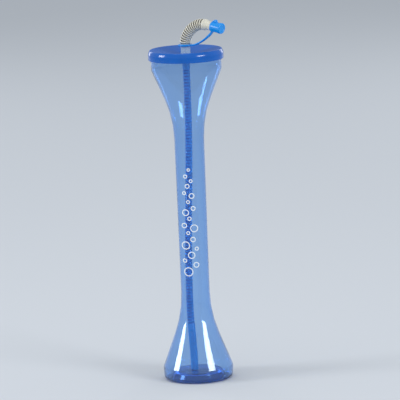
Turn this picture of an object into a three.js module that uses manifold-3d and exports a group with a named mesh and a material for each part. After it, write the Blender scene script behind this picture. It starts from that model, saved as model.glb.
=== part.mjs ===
// A yard cup: a tall waisted drinking cup with a push-on lid, a ribbed straw inside, and a bendy
// spout that is closed by a cap on a strap. Millimetres, +Z up. The origin is the centre of the foot
// on the table. The spout bends to the right, +X, and a little to the front, -Y.

import * as THREE from 'three';
import { mergeVertices } from 'three/addons/utils/BufferGeometryUtils.js';
import Module from 'manifold-3d';

// Cup: stacked lengths from the table to the rim, and the outside radius at each joint of them.
const HEEL_HEIGHT = 13.4;
const FLARE_HEIGHT = 57.8;
const WAIST_LENGTH = 211.3;
const BOWL_HEIGHT = 51.1;
const BAND_HEIGHT = 20;
const HEEL_FOOT_RADIUS = 36.6;
const HEEL_TOP_RADIUS = 37.3;
const WAIST_FOOT_RADIUS = 15.1;
const WAIST_TOP_RADIUS = 15.9;
const MOUTH_RADIUS = 37.4;
const CUP_WALL = 1;

// Cup: the roundings between those lengths, the rim and the foot.
const HEEL_ROUND = 6;
const HEEL_TOP_ROUND = 3;
const FLARE_BLEND = 125;
const BOWL_BLEND = 115;
const SHOULDER_ROUND = 5;
const RIM_STAND_OUT = 0.7;
const RIM_DEPTH = 2.4;
const RIM_ROUND = 0.5;
const STANDING_RING = 3;
const PUSH_UP = 7.5;
const PUSH_UP_RUN = 3;
const PUSH_UP_ROUND = 2;
const BASE_WALL = 1.4;

// Clearances: what seats, what slides or turns, and what was cut from one moulding.
const SEAT_CLEARANCE = 0.3;
const RUNNING_CLEARANCE = 0.2;
const CUT_GAP = 0.3;

// Lid.
const SKIRT_WALL = 1.6;
const SKIRT_DROP = 9;
const SKIRT_EDGE_ROUND = 0.7;
const CROWN_THICKNESS = 1.3;
const CROWN_WIDTH = 4;
const CROWN_ROUND = 2;
const LID_SHOULDER_RUN = 1.6;
const LID_SHOULDER_FALL = 3.3;
const LID_SHOULDER_ROUND = 8;
const DISH_DEPTH = 5.6;
const DISH_FLOOR_RADIUS = 12;
const DISH_UNDERSIDE_INSET = 1;
const DISH_ROUND = 12;
const PLATE_THICKNESS = 1.5;
const COLLAR_WALL = 1.6;
const COLLAR_DROP = 3.5;

// Straw.
const STRAW_RADIUS = 4;
const STRAW_RIB_DEPTH = 0.55;
const STRAW_RIB_PITCH = 3.3;
const STRAW_WALL = 0.6;
const STRAW_PLUG = 7.5;
const STRAW_STRAIGHT = 55;
const STRAW_RIBS_FROM = 24;
const STRAW_FOOT_LENGTH = 51;
const STRAW_FOOT_LEAN = 3.9;
const STRAW_WALL_MARGIN = 3.7;
const STRAW_BOW_ABOVE_FLARE = 12;
const STRAW_HANDLE_SHARE = 0.4;

// Spout: stub, corrugated bend and tip.
const STUB_WALL = 0.95;
const RING_HEIGHT = 9;
const BEAD_HEIGHT = 0.6;
const BEAD_STAND_OUT = 0.6;
const SPOUT_FACING = THREE.MathUtils.degToRad(-36);
const BEND_REACH = 27.2;
const BEND_RISE = 20.5;
const BEND_FOOT_PULL = 8;
const BEND_END_PULL = 15.9;
const TIP_DROOP = THREE.MathUtils.degToRad(9.4);
const BELLOWS_RIBS = 13;
const BELLOWS_PLAIN_END = 3;
const BELLOWS_ROOT_RADIUS = 5.2;
const BELLOWS_RIB_DEPTH = 0.8;
const BELLOWS_WALL = 0.7;
const TIP_RADIUS = 5.9;
const TIP_PLAIN = 0.3;
const SHOULDER_LENGTH = 2.7;
const NECK_LENGTH = 5.2;
const NECK_RADIUS = 4.8;
const MOUTHPIECE_RADIUS = 4.4;
const MOUTHPIECE_WALL = 0.9;
const MOUTHPIECE_REACH = 5;

// Tethered cap: ring, strap and cap.
const RING_THICKNESS = 1.8;
const RING_WIDTH = 2.4;
const STRAP_WIDTH = 3.4;
const STRAP_THICKNESS = 1.8;
const STRAP_RING_PULL = 11;
const STRAP_CAP_PULL = 1;
const CAP_WALL = 0.7;
const CAP_LENGTH = 13.3;
const CAP_BORE_DEPTH = 10.8;
const CAP_FLANGE_LENGTH = 3.6;
const CAP_FLANGE_STAND_OUT = 0.4;
const CAP_FLANGE_ROUND = 1.5;
const CAP_DISH_RADIUS = 3.6;
const CAP_DISH_DEPTH = 0.5;
const THUMB_TAB_LENGTH = 6.2;
const THUMB_TAB_WIDTH = 4;
const THUMB_TAB_HEIGHT = 2.2;
const THUMB_TAB_FRONT_SLOPE = 2.6;
const THUMB_TAB_BACK_SLOPE = 1.4;
const THUMB_TAB_ROUND = 1.2;
const STRAP_LUG_LENGTH = 1.8;
const STRAP_LUG_HEIGHT = 0.6;

// Fineness of the facets.
const CUP_SIDES = 48;
const LID_SIDES = 48;
const SMALL_SIDES = 32;
const BELLOWS_SIDES = 28;
const STRAW_SIDES = 10;
const STRAW_PLAIN_STEP = 12;
const STRAW_RIBS_PER_BORE_RING = 5;
const BELLOWS_RIBS_PER_BORE_RING = 2;
const STRAP_STEPS = 12;
const ROUND_SAGITTA = 0.1;

// Sizes that follow from the ones above.
const flareFoot = HEEL_HEIGHT;
const waistFoot = flareFoot + FLARE_HEIGHT;
const waistTop = waistFoot + WAIST_LENGTH;
const bandFoot = waistTop + BOWL_HEIGHT;
const rimTop = bandFoot + BAND_HEIGHT;
const cupFloor = PUSH_UP + BASE_WALL;
const rimRadius = MOUTH_RADIUS + RIM_STAND_OUT;
const crownTop = SEAT_CLEARANCE + CROWN_THICKNESS;
const plateTop = crownTop - DISH_DEPTH;
const plateFoot = plateTop - PLATE_THICKNESS;
const strawHole = STRAW_RADIUS + SEAT_CLEARANCE;
const stubBore = STRAW_RADIUS + RUNNING_CLEARANCE;
const stubRadius = stubBore + STUB_WALL;
const beadFoot = RING_HEIGHT + RING_THICKNESS + SEAT_CLEARANCE;
const beadTop = beadFoot + BEAD_HEIGHT;
const bellowsFoot = beadTop + CUT_GAP;
const bellowsBore = BELLOWS_ROOT_RADIUS - BELLOWS_WALL;
const bellowsCrest = BELLOWS_ROOT_RADIUS + BELLOWS_RIB_DEPTH;
const capMouth = CUT_GAP + TIP_PLAIN + SHOULDER_LENGTH + NECK_LENGTH;
const capBore = MOUTHPIECE_RADIUS + SEAT_CLEARANCE;
const capRadius = capBore + CAP_WALL;
const ringBore = stubRadius + RUNNING_CLEARANCE;
const ringRadius = ringBore + RING_WIDTH;

const wasm = await Module();
wasm.setup();

// Points of an outline of [radius, height, rounding] corners. An open outline runs from axis to axis.
function roundedOutline(corners, closed) {
  const places = corners.map(([radius, height]) => new THREE.Vector2(radius, height));
  const points = [];
  places.forEach((place, index) => {
    const rounding = corners[index][2] ?? 0;
    const isEnd = !closed && (index === 0 || index === places.length - 1);
    if (isEnd || rounding === 0) {
      points.push(place);
      return;
    }
    const before = places[(index + places.length - 1) % places.length];
    const after = places[(index + 1) % places.length];
    points.push(...cornerArc(before, place, after, rounding));
  });
  if (closed) points.push(points[0].clone());
  return points;
}

// An arc that rounds the corner between two straight runs, kept within half of the shorter run.
function cornerArc(before, corner, after, rounding) {
  const back = before.clone().sub(corner);
  const ahead = after.clone().sub(corner);
  const roomAlongRuns = Math.min(back.length(), ahead.length()) / 2;
  back.normalize();
  ahead.normalize();
  const halfAngle = Math.acos(THREE.MathUtils.clamp(back.dot(ahead), -1, 1)) / 2;
  const tangentRun = Math.min(rounding / Math.tan(halfAngle), roomAlongRuns);
  const radius = tangentRun * Math.tan(halfAngle);
  const toCentre = back.clone().add(ahead).setLength(radius / Math.sin(halfAngle));
  const centre = corner.clone().add(toCentre);
  const turn = Math.PI - 2 * halfAngle;
  const stepTurn = 2 * Math.acos(1 - Math.min(ROUND_SAGITTA / radius, 1));
  const steps = Math.max(2, Math.ceil(turn / stepTurn));
  const first = corner.clone().addScaledVector(back, tangentRun);
  const turnsLeft = back.cross(ahead) < 0;
  return Array.from({ length: steps + 1 }, (_, step) => {
    const angle = (turnsLeft ? 1 : -1) * (turn * step) / steps;
    return first.clone().rotateAround(centre, angle);
  });
}

// A solid of revolution about +Z.
function revolve(corners, sides, closed) {
  const geometry = new THREE.LatheGeometry(roundedOutline(corners, closed), sides);
  geometry.rotateX(Math.PI / 2);
  return geometry;
}

// A tube round a line in the XZ plane, from rings of { centre, along, radius }. The rings go up the
// outside and come back down the bore, so that the last joins the first.
function ringTube(rings, sides) {
  const positions = [];
  const indices = [];
  rings.forEach(({ centre, along, radius }) => {
    const across = new THREE.Vector3(along.z, 0, -along.x);
    for (let side = 0; side < sides; side += 1) {
      const angle = (2 * Math.PI * side) / sides;
      const point = centre.clone().addScaledVector(across, radius * Math.cos(angle));
      positions.push(point.x, point.y + radius * Math.sin(angle), point.z);
    }
  });
  rings.forEach((_, ring) => {
    const here = ring * sides;
    const next = ((ring + 1) % rings.length) * sides;
    for (let side = 0; side < sides; side += 1) {
      const beside = (side + 1) % sides;
      indices.push(here + side, here + beside, next + beside);
      indices.push(here + side, next + beside, next + side);
    }
  });
  const geometry = new THREE.BufferGeometry();
  geometry.setAttribute('position', new THREE.Float32BufferAttribute(positions, 3));
  geometry.setIndex(indices);
  return geometry;
}

// A closed geometry as a solid that can be joined with another.
function toSolid(geometry) {
  const bare = geometry.clone();
  bare.deleteAttribute('normal');
  bare.deleteAttribute('uv');
  const merged = mergeVertices(bare, 1e-4);
  const triangles = [];
  for (let at = 0; at < merged.index.count; at += 3) {
    const [a, b, c] = [0, 1, 2].map((corner) => merged.index.getX(at + corner));
    if (a !== b && b !== c && c !== a) triangles.push(a, b, c);
  }
  return new wasm.Manifold(new wasm.Mesh({
    numProp: 3,
    vertProperties: new Float32Array(merged.attributes.position.array),
    triVerts: new Uint32Array(triangles),
  }));
}

function fromSolid(solid) {
  const { vertProperties, triVerts, numProp } = solid.getMesh();
  const geometry = new THREE.BufferGeometry();
  const positions = new THREE.InterleavedBuffer(vertProperties, numProp);
  geometry.setAttribute('position', new THREE.InterleavedBufferAttribute(positions, 3, 0));
  geometry.setIndex(Array.from(triVerts));
  return geometry;
}

function named(name, geometry, look) {
  const mesh = new THREE.Mesh(geometry, new THREE.MeshStandardMaterial({ metalness: 0, ...look }));
  mesh.name = name;
  return mesh;
}

const tintedClear = { color: 0x8cc4f0, roughness: 0.08, transparent: true, opacity: 0.35 };
const lidBlue = { color: 0x1f58ad, roughness: 0.35 };
const strawBlue = { color: 0x2d73c8, roughness: 0.4 };
const milkyWhite = { color: 0xd9d6c6, roughness: 0.45 };
const capAzure = { color: 0x1e8fe8, roughness: 0.4 };

// The cup is a blown shell: its outline climbs from the push-up under the foot to the rim, and comes
// back down the inside at the wall's thickness.
function cupShell() {
  const ringOuter = HEEL_FOOT_RADIUS - HEEL_ROUND;
  const ringInner = ringOuter - STANDING_RING;
  const pushUpEdge = ringInner - PUSH_UP_RUN;
  const underside = [
    [0, PUSH_UP],
    [pushUpEdge, PUSH_UP, PUSH_UP_ROUND],
    [ringInner, 0, PUSH_UP_ROUND],
  ];
  const outside = [
    [HEEL_FOOT_RADIUS, 0, HEEL_ROUND],
    [HEEL_TOP_RADIUS, flareFoot, HEEL_TOP_ROUND],
    [WAIST_FOOT_RADIUS, waistFoot, FLARE_BLEND],
    [WAIST_TOP_RADIUS, waistTop, BOWL_BLEND],
    [MOUTH_RADIUS, bandFoot, SHOULDER_ROUND],
    [MOUTH_RADIUS, rimTop - RIM_DEPTH, RIM_ROUND],
    [rimRadius, rimTop - RIM_DEPTH, RIM_ROUND],
    [rimRadius, rimTop, RIM_ROUND],
  ];
  const inside = [
    [MOUTH_RADIUS - CUP_WALL, rimTop, RIM_ROUND],
    [MOUTH_RADIUS - CUP_WALL, bandFoot, SHOULDER_ROUND - CUP_WALL],
    [WAIST_TOP_RADIUS - CUP_WALL, waistTop, BOWL_BLEND + CUP_WALL],
    [WAIST_FOOT_RADIUS - CUP_WALL, waistFoot, FLARE_BLEND + CUP_WALL],
    [HEEL_TOP_RADIUS - CUP_WALL, flareFoot, HEEL_TOP_ROUND - CUP_WALL],
    [HEEL_FOOT_RADIUS - CUP_WALL, BASE_WALL, HEEL_ROUND - CUP_WALL],
    [ringInner + CUP_WALL, BASE_WALL, PUSH_UP_ROUND],
    [pushUpEdge + CUP_WALL, cupFloor, PUSH_UP_ROUND],
    [0, cupFloor],
  ];
  const geometry = revolve([...underside, ...outside, ...inside], CUP_SIDES, false);
  return named('cup_shell', geometry, tintedClear);
}

// The lid, in heights from the cup's rim: a collar round the straw, a dished plate, a round crown over
// the rim and a skirt outside it.
function lid() {
  const skirtBore = rimRadius + SEAT_CLEARANCE;
  const skirtRadius = skirtBore + SKIRT_WALL;
  const dishMouth = skirtRadius - CROWN_WIDTH;
  const collarRadius = strawHole + COLLAR_WALL;
  const collarFoot = plateFoot - COLLAR_DROP;
  const corners = [
    [strawHole, plateTop],
    [strawHole, collarFoot],
    [collarRadius, collarFoot],
    [collarRadius, plateFoot],
    [DISH_FLOOR_RADIUS - DISH_UNDERSIDE_INSET, plateFoot, DISH_ROUND],
    [dishMouth, SEAT_CLEARANCE, DISH_ROUND],
    [skirtBore, SEAT_CLEARANCE, RIM_ROUND + SEAT_CLEARANCE],
    [skirtBore, -SKIRT_DROP],
    [skirtRadius, -SKIRT_DROP, SKIRT_EDGE_ROUND],
    [skirtRadius, crownTop - LID_SHOULDER_FALL, LID_SHOULDER_ROUND],
    [skirtRadius - LID_SHOULDER_RUN, crownTop, CROWN_ROUND],
    [dishMouth, crownTop, DISH_ROUND],
    [DISH_FLOOR_RADIUS, plateTop, DISH_ROUND],
  ];
  return named('lid', revolve(corners, LID_SIDES, true), lidBlue);
}

// The straw's line, in heights from the cup's rim: straight through the lid, then a slow bow towards
// the waist's wall and back to the foot.
function strawLine() {
  const top = plateTop + STRAW_PLUG;
  const straightFoot = top - STRAW_STRAIGHT;
  const bowHeight = waistFoot + STRAW_BOW_ABOVE_FLARE - rimTop;
  const bow = WAIST_FOOT_RADIUS - CUP_WALL - STRAW_RADIUS - STRAW_WALL_MARGIN;
  const foot = cupFloor + SEAT_CLEARANCE - rimTop;
  const place = (lean, height) => new THREE.Vector3(-lean, 0, height);
  const upperHandle = STRAW_HANDLE_SHARE * (straightFoot - bowHeight);
  const lowerHandle = STRAW_HANDLE_SHARE * (bowHeight - foot);
  const line = new THREE.CurvePath();
  line.add(new THREE.LineCurve3(place(0, top), place(0, straightFoot)));
  line.add(new THREE.CubicBezierCurve3(
    place(0, straightFoot),
    place(0, straightFoot - upperHandle),
    place(bow, bowHeight + upperHandle),
    place(bow, bowHeight),
  ));
  line.add(new THREE.CubicBezierCurve3(
    place(bow, bowHeight),
    place(bow, bowHeight - lowerHandle),
    place(STRAW_FOOT_LEAN, foot + lowerHandle),
    place(STRAW_FOOT_LEAN, foot),
  ));
  return line;
}

function dipStraw() {
  const line = strawLine();
  const length = line.getLength();
  const root = STRAW_RADIUS - STRAW_RIB_DEPTH;
  const bore = root - STRAW_WALL;
  const ribbedEnd = length - STRAW_FOOT_LENGTH;
  const ribs = Math.floor((ribbedEnd - STRAW_RIBS_FROM) / STRAW_RIB_PITCH);
  const ringAt = (run, radius) => {
    const share = run / length;
    return { centre: line.getPoint(share), along: line.getTangent(share), radius };
  };
  const outside = [ringAt(0, STRAW_RADIUS)];
  const inside = [ringAt(0, bore)];
  for (let rib = 0; rib < ribs; rib += 1) {
    const crest = STRAW_RIBS_FROM + rib * STRAW_RIB_PITCH;
    outside.push(ringAt(crest, STRAW_RADIUS));
    outside.push(ringAt(crest + STRAW_RIB_PITCH / 2, root));
    if (rib % STRAW_RIBS_PER_BORE_RING === 0) inside.push(ringAt(crest, bore));
  }
  const plainSteps = Math.ceil(STRAW_FOOT_LENGTH / STRAW_PLAIN_STEP);
  for (let step = 0; step <= plainSteps; step += 1) {
    const run = ribbedEnd + (STRAW_FOOT_LENGTH * step) / plainSteps;
    outside.push(ringAt(run, STRAW_RADIUS));
    inside.push(ringAt(run, bore));
  }
  return named('dip_straw', ringTube([...outside, ...inside.reverse()], STRAW_SIDES), strawBlue);
}

// The stub, in heights from the lid's plate: a plain tube over the straw's end, with a bead on top that
// keeps the tether's ring down.
function spoutStub() {
  const corners = [
    [stubBore, beadTop],
    [stubBore, SEAT_CLEARANCE],
    [stubRadius, SEAT_CLEARANCE],
    [stubRadius, beadFoot],
    [stubRadius + BEAD_STAND_OUT, beadFoot, BEAD_STAND_OUT],
    [stubRadius + BEAD_STAND_OUT, beadTop, BEAD_STAND_OUT],
  ];
  return named('spout_stub', revolve(corners, SMALL_SIDES, true), milkyWhite);
}

// The bend's centre line, in heights from the lid's plate: up from the stub and over to the tip.
function bendLine() {
  const foot = new THREE.Vector3(0, 0, bellowsFoot);
  const end = new THREE.Vector3(BEND_REACH, 0, bellowsFoot + BEND_RISE);
  const upwards = new THREE.Vector3(0, 0, 1);
  const outwards = new THREE.Vector3(Math.cos(TIP_DROOP), 0, -Math.sin(TIP_DROOP));
  return new THREE.CubicBezierCurve3(
    foot,
    foot.clone().addScaledVector(upwards, BEND_FOOT_PULL),
    end.clone().addScaledVector(outwards, -BEND_END_PULL),
    end,
  );
}

// The corrugated bend, with a plain end that runs into the tip.
function spoutBellows() {
  const line = bendLine();
  const length = line.getLength();
  const ribbedEnd = length - BELLOWS_PLAIN_END;
  const pitch = ribbedEnd / BELLOWS_RIBS;
  const ringAt = (run, radius) => {
    const share = run / length;
    return { centre: line.getPointAt(share), along: line.getTangentAt(share), radius };
  };
  const outside = [];
  const inside = [];
  for (let rib = 0; rib < BELLOWS_RIBS; rib += 1) {
    outside.push(ringAt(pitch * rib, BELLOWS_ROOT_RADIUS));
    outside.push(ringAt(pitch * (rib + 0.5), bellowsCrest));
    if (rib % BELLOWS_RIBS_PER_BORE_RING === 0) inside.push(ringAt(pitch * rib, bellowsBore));
  }
  outside.push(ringAt(ribbedEnd, BELLOWS_ROOT_RADIUS));
  outside.push(ringAt(ribbedEnd + pitch / 2, TIP_RADIUS));
  outside.push(ringAt(length, TIP_RADIUS));
  inside.push(ringAt(ribbedEnd, bellowsBore));
  inside.push(ringAt(length, bellowsBore));
  const geometry = ringTube([...outside, ...inside.reverse()], BELLOWS_SIDES);
  return named('spout_bellows', geometry, milkyWhite);
}

// The tip runs on along its own +Z from the end of the bend. It narrows to a neck, and the neck's step
// to the mouthpiece is where the cap stops.
function spoutTip() {
  const bore = MOUTHPIECE_RADIUS - MOUTHPIECE_WALL;
  const shoulderFoot = CUT_GAP + TIP_PLAIN;
  const neckEnd = capMouth - SEAT_CLEARANCE;
  const end = capMouth + MOUTHPIECE_REACH;
  const corners = [
    [bore, end],
    [bore, CUT_GAP],
    [TIP_RADIUS, CUT_GAP],
    [TIP_RADIUS, shoulderFoot, SHOULDER_LENGTH / 2],
    [NECK_RADIUS, shoulderFoot + SHOULDER_LENGTH, SHOULDER_LENGTH / 2],
    [NECK_RADIUS, neckEnd],
    [MOUTHPIECE_RADIUS, neckEnd],
    [MOUTHPIECE_RADIUS, end],
  ];
  return named('spout_tip', revolve(corners, SMALL_SIDES, true), milkyWhite);
}

function tetherRing() {
  const round = RING_THICKNESS / 4;
  const corners = [
    [ringBore, RING_HEIGHT + RING_THICKNESS],
    [ringBore, RING_HEIGHT],
    [ringRadius, RING_HEIGHT, round],
    [ringRadius, RING_HEIGHT + RING_THICKNESS, round],
  ];
  return named('tether_ring', revolve(corners, SMALL_SIDES, true), capAzure);
}

// The strap leaves the ring level, and curves up to meet the cap's lug square.
function tetherStrap(tip) {
  tip.updateMatrix();
  const lugFace = capRadius + STRAP_LUG_HEIGHT + CUT_GAP;
  const lugMiddle = capMouth + STRAP_LUG_LENGTH / 2;
  const onTip = (out) => {
    const place = new THREE.Vector3(out, 0, lugMiddle).applyMatrix4(tip.matrix);
    return new THREE.Vector2(place.x, place.z);
  };
  const ringFace = ringRadius + CUT_GAP;
  const ringMiddle = RING_HEIGHT + RING_THICKNESS / 2;
  const line = new THREE.CubicBezierCurve(
    new THREE.Vector2(ringFace, ringMiddle),
    new THREE.Vector2(ringFace + STRAP_RING_PULL, ringMiddle),
    onTip(lugFace + STRAP_CAP_PULL),
    onTip(lugFace),
  );
  const edge = (side) => Array.from({ length: STRAP_STEPS + 1 }, (_, step) => {
    const along = line.getTangent(step / STRAP_STEPS);
    const across = new THREE.Vector2(-along.y, along.x);
    return line.getPoint(step / STRAP_STEPS).addScaledVector(across, (side * STRAP_THICKNESS) / 2);
  });
  const outline = new THREE.Shape([...edge(1), ...edge(-1).reverse()]);
  return named('tether_strap', crossPrism(outline, STRAP_WIDTH), capAzure);
}

// A prism across Y, from an outline in the XZ plane.
function crossPrism(outline, width) {
  const geometry = new THREE.ExtrudeGeometry(outline, { depth: width, bevelEnabled: false });
  geometry.rotateX(Math.PI / 2);
  geometry.translate(0, width / 2, 0);
  return geometry;
}

// The cap, along the tip's +Z: a cup over the mouthpiece with a flanged and dished end, a thumb tab on
// its upper side, which is the tip's -X, and the strap's lug on its lower side.
function strawCap() {
  const end = CAP_LENGTH;
  const flangeFoot = end - CAP_FLANGE_LENGTH;
  const flangeRadius = capRadius + CAP_FLANGE_STAND_OUT;
  const cup = revolve([
    [0, CAP_BORE_DEPTH],
    [capBore, CAP_BORE_DEPTH],
    [capBore, 0],
    [capRadius, 0],
    [capRadius, flangeFoot],
    [flangeRadius, flangeFoot, CAP_FLANGE_STAND_OUT],
    [flangeRadius, end, CAP_FLANGE_ROUND],
    [CAP_DISH_RADIUS, end],
    [CAP_DISH_RADIUS - CAP_DISH_DEPTH, end - CAP_DISH_DEPTH],
    [0, end - CAP_DISH_DEPTH],
  ], SMALL_SIDES, false);
  const root = capBore + CAP_WALL / 4;
  const tabTop = capRadius + THUMB_TAB_HEIGHT;
  const tabOutline = roundedOutline([
    [-root, 0],
    [-root, THUMB_TAB_LENGTH],
    [-capRadius, THUMB_TAB_LENGTH],
    [-tabTop, THUMB_TAB_LENGTH - THUMB_TAB_BACK_SLOPE, THUMB_TAB_ROUND],
    [-tabTop, THUMB_TAB_FRONT_SLOPE, THUMB_TAB_ROUND],
    [-capRadius, 0],
  ], true);
  const lugOutline = roundedOutline([
    [root, 0],
    [capRadius + STRAP_LUG_HEIGHT, 0],
    [capRadius + STRAP_LUG_HEIGHT, STRAP_LUG_LENGTH],
    [root, STRAP_LUG_LENGTH],
  ], true);
  const tab = crossPrism(new THREE.Shape(tabOutline), THUMB_TAB_WIDTH);
  const lug = crossPrism(new THREE.Shape(lugOutline), STRAP_WIDTH);
  const solid = toSolid(cup).add(toSolid(tab)).add(toSolid(lug));
  const mesh = named('straw_cap', fromSolid(solid), capAzure);
  mesh.position.z = capMouth;
  return mesh;
}

// The tip stands at the end of the bend and droops with it.
const tip = new THREE.Group();
tip.position.set(BEND_REACH, 0, bellowsFoot + BEND_RISE);
tip.rotation.y = Math.PI / 2 + TIP_DROOP;
tip.add(spoutTip(), strawCap());

// The spout stands on the lid's plate, and the lid and the straw hang from the cup's rim.
const spout = new THREE.Group();
spout.position.z = plateTop;
spout.rotation.z = SPOUT_FACING;
spout.add(spoutStub(), spoutBellows(), tetherRing(), tetherStrap(tip), tip);

const lidAndStraw = new THREE.Group();
lidAndStraw.position.z = rimTop;
lidAndStraw.add(lid(), dipStraw(), spout);

const yardCup = new THREE.Group();
yardCup.add(cupShell(), lidAndStraw);

export default yardCup;
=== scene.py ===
# %% [markdown]
# # A yard cup with a lid, a straw and a capped spout
# The cup stands about 36 cm tall. It is blown from clear, blue-tinted plastic, and everything else on
# it is moulded: a lid that pushes over the rim, a ribbed straw, a bendy spout, and a small cap that
# hangs on its own strap. Each piece is drawn as a section and turned round the cup's axis, because
# nearly all of them are round. The pieces that curve are made straight first and bent afterwards.

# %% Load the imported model
import math

import bpy
from mathutils import Matrix, Vector


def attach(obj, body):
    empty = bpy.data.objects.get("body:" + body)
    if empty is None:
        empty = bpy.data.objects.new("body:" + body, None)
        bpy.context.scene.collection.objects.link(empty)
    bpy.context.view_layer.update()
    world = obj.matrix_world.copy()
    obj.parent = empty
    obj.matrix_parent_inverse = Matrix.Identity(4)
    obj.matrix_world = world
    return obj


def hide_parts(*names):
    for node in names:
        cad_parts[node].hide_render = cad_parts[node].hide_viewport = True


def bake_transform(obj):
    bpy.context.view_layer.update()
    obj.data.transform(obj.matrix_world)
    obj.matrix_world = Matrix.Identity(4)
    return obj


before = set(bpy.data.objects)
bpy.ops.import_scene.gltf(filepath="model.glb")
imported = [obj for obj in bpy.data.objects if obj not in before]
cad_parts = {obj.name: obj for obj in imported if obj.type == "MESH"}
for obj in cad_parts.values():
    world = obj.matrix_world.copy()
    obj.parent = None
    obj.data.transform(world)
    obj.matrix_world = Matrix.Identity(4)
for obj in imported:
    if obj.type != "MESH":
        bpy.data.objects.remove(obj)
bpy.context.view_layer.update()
MM = 0.001

# %% [markdown]
# ## Camera
# The photograph looks slightly down on the cup from far away, so the sides stay almost parallel. The
# camera is rolled by a little over two degrees, because the cup leans left in the picture. A long lens
# gives the flat perspective, and a small shift puts the cup where the picture has it.

# %% Camera
AIM = Vector((0, 0, 180)) * MM
CAMERA_DISTANCE = 4.0
ELEVATION = math.radians(9.79)
ROLL = math.radians(2.34)
FRAME_WIDTH = 426.2 * MM
PHOTO_WIDTH = 400
AIM_PIXEL = (192.2, 212.05)

bpy.ops.object.camera_add()
camera = bpy.context.object
camera.name = "camera"
tilt = Matrix.Rotation(math.pi / 2 - ELEVATION, 4, "X")
camera.matrix_world = (
    Matrix.Translation(AIM)
    @ tilt
    @ Matrix.Rotation(-ROLL, 4, "Z")
    @ Matrix.Translation((0, 0, CAMERA_DISTANCE))
)
camera.data.lens = camera.data.sensor_width * CAMERA_DISTANCE / FRAME_WIDTH
camera.data.shift_x = 0.5 - AIM_PIXEL[0] / PHOTO_WIDTH
camera.data.shift_y = AIM_PIXEL[1] / PHOTO_WIDTH - 0.5
camera.data.clip_end = 100
bpy.context.scene.camera = camera
print("lens in mm:", round(camera.data.lens, 1))

# %% [markdown]
# ## Colours and nodes
# Colours are written as the hex values a paint program shows. Blender's shaders work in linear light, so
# one function converts them. A second small function adds a shader node with its settings and its
# links, which keeps each material short enough to read in one look.

# %% Colour and node helpers
def linear(hex_colour):
    """A hex colour such as 1f63c4 as linear red, green, blue and alpha."""
    channels = [int(hex_colour[at:at + 2], 16) / 255 for at in (0, 2, 4)]
    lit = [c / 12.92 if c <= 0.04045 else ((c + 0.055) / 1.055) ** 2.4 for c in channels]
    return (*lit, 1.0)


def add(tree, kind, inputs=None, **settings):
    """Adds a node. An input takes a plain value, or another node's output to link from."""
    node = tree.nodes.new(kind)
    for name, value in settings.items():
        setattr(node, name, value)
    for name, value in (inputs or {}).items():
        if isinstance(value, bpy.types.NodeSocket):
            tree.links.new(value, node.inputs[name])
        else:
            node.inputs[name].default_value = value
    return node


def new_material(name):
    """An empty material with its output node."""
    material = bpy.data.materials.new(name)
    material.use_nodes = True
    material.node_tree.nodes.clear()
    output = add(material.node_tree, "ShaderNodeOutputMaterial")
    return material, material.node_tree, output


# %% [markdown]
# ## Studio
# A clear cup is only what it reflects and bends, so the room matters. A wide pale floor runs far back
# and is the background too. A soft box at the left and one at the front right give the lid's shoulder
# its two glints and draw the long streaks down the bowl and the flare. They stand far off and carry
# grids, so that the floor is lit evenly. Two rim lights stand behind the cup and brighten its edges. A
# lamp above and the world add an even fill.

# %% Studio floor
bpy.ops.object.select_all(action="DESELECT")
bpy.ops.mesh.primitive_plane_add(size=40)
floor = bpy.context.object
floor.name = "floor"

floor_paint, tree, output = new_material("pale matt studio floor")
paint = add(tree, "ShaderNodeBsdfPrincipled", {
    "Base Color": linear("d6dbe1"), "Roughness": 0.9, "Specular IOR Level": 0.0})
tree.links.new(paint.outputs["BSDF"], output.inputs["Surface"])
floor.data.materials.append(floor_paint)

# %% Studio lights
world = bpy.data.worlds.new("studio fill")
bpy.context.scene.world = world
world.use_nodes = True
world.node_tree.nodes["Background"].inputs["Color"].default_value = linear("eef2f7")
world.node_tree.nodes["Background"].inputs["Strength"].default_value = 0.66


def soft_box(name, place, width, height, watts, spread=math.pi):
    """A rectangular lamp that faces the middle of the cup. A grid on its front narrows the spread."""
    bpy.ops.object.light_add(type="AREA")
    lamp = bpy.context.object
    lamp.name = name
    lamp.location = place
    lamp.rotation_euler = (AIM - lamp.location).to_track_quat("-Z", "Y").to_euler()
    lamp.data.shape = "RECTANGLE"
    lamp.data.size = width
    lamp.data.size_y = height
    lamp.data.energy = watts
    lamp.data.spread = spread
    return lamp


GRID_SPREAD = math.radians(60)
SOFT_BOX_WATTS = 9.5
RIM_LIGHT_WATTS = 7
TOP_WATTS = 3
soft_box("left soft box", Vector((-4.2, -0.65, 1.55)), 1.7, 1.25, SOFT_BOX_WATTS, GRID_SPREAD)
soft_box("right soft box", Vector((3.2, -2.9, 1.7)), 1.9, 1.15, SOFT_BOX_WATTS, GRID_SPREAD)
soft_box("left rim light", Vector((-1.5, 2.4, 0.85)), 0.6, 1.5, RIM_LIGHT_WATTS)
soft_box("right rim light", Vector((1.5, 2.4, 0.85)), 0.6, 1.5, RIM_LIGHT_WATTS)
soft_box("top soft box", Vector((-0.2, -0.3, 1.8)), 1.0, 1.0, TOP_WATTS)
bpy.context.scene.view_settings.view_transform = "Standard"

# %% [markdown]
# ## Turning a section
# A lathe part is defined by half of its cross section. The section is a list of corners, each with a
# radius, a height and, where it isn't sharp, a rounding. One vertex is extruded from point to point
# along it, and spin then sweeps the section round the axis. Drawing the section as a spline would also
# work, but corners with roundings are how a mould drawing gives it.

# %% Section points
ARC_STEP = math.radians(9)
ARC_RUN = 4


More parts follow.
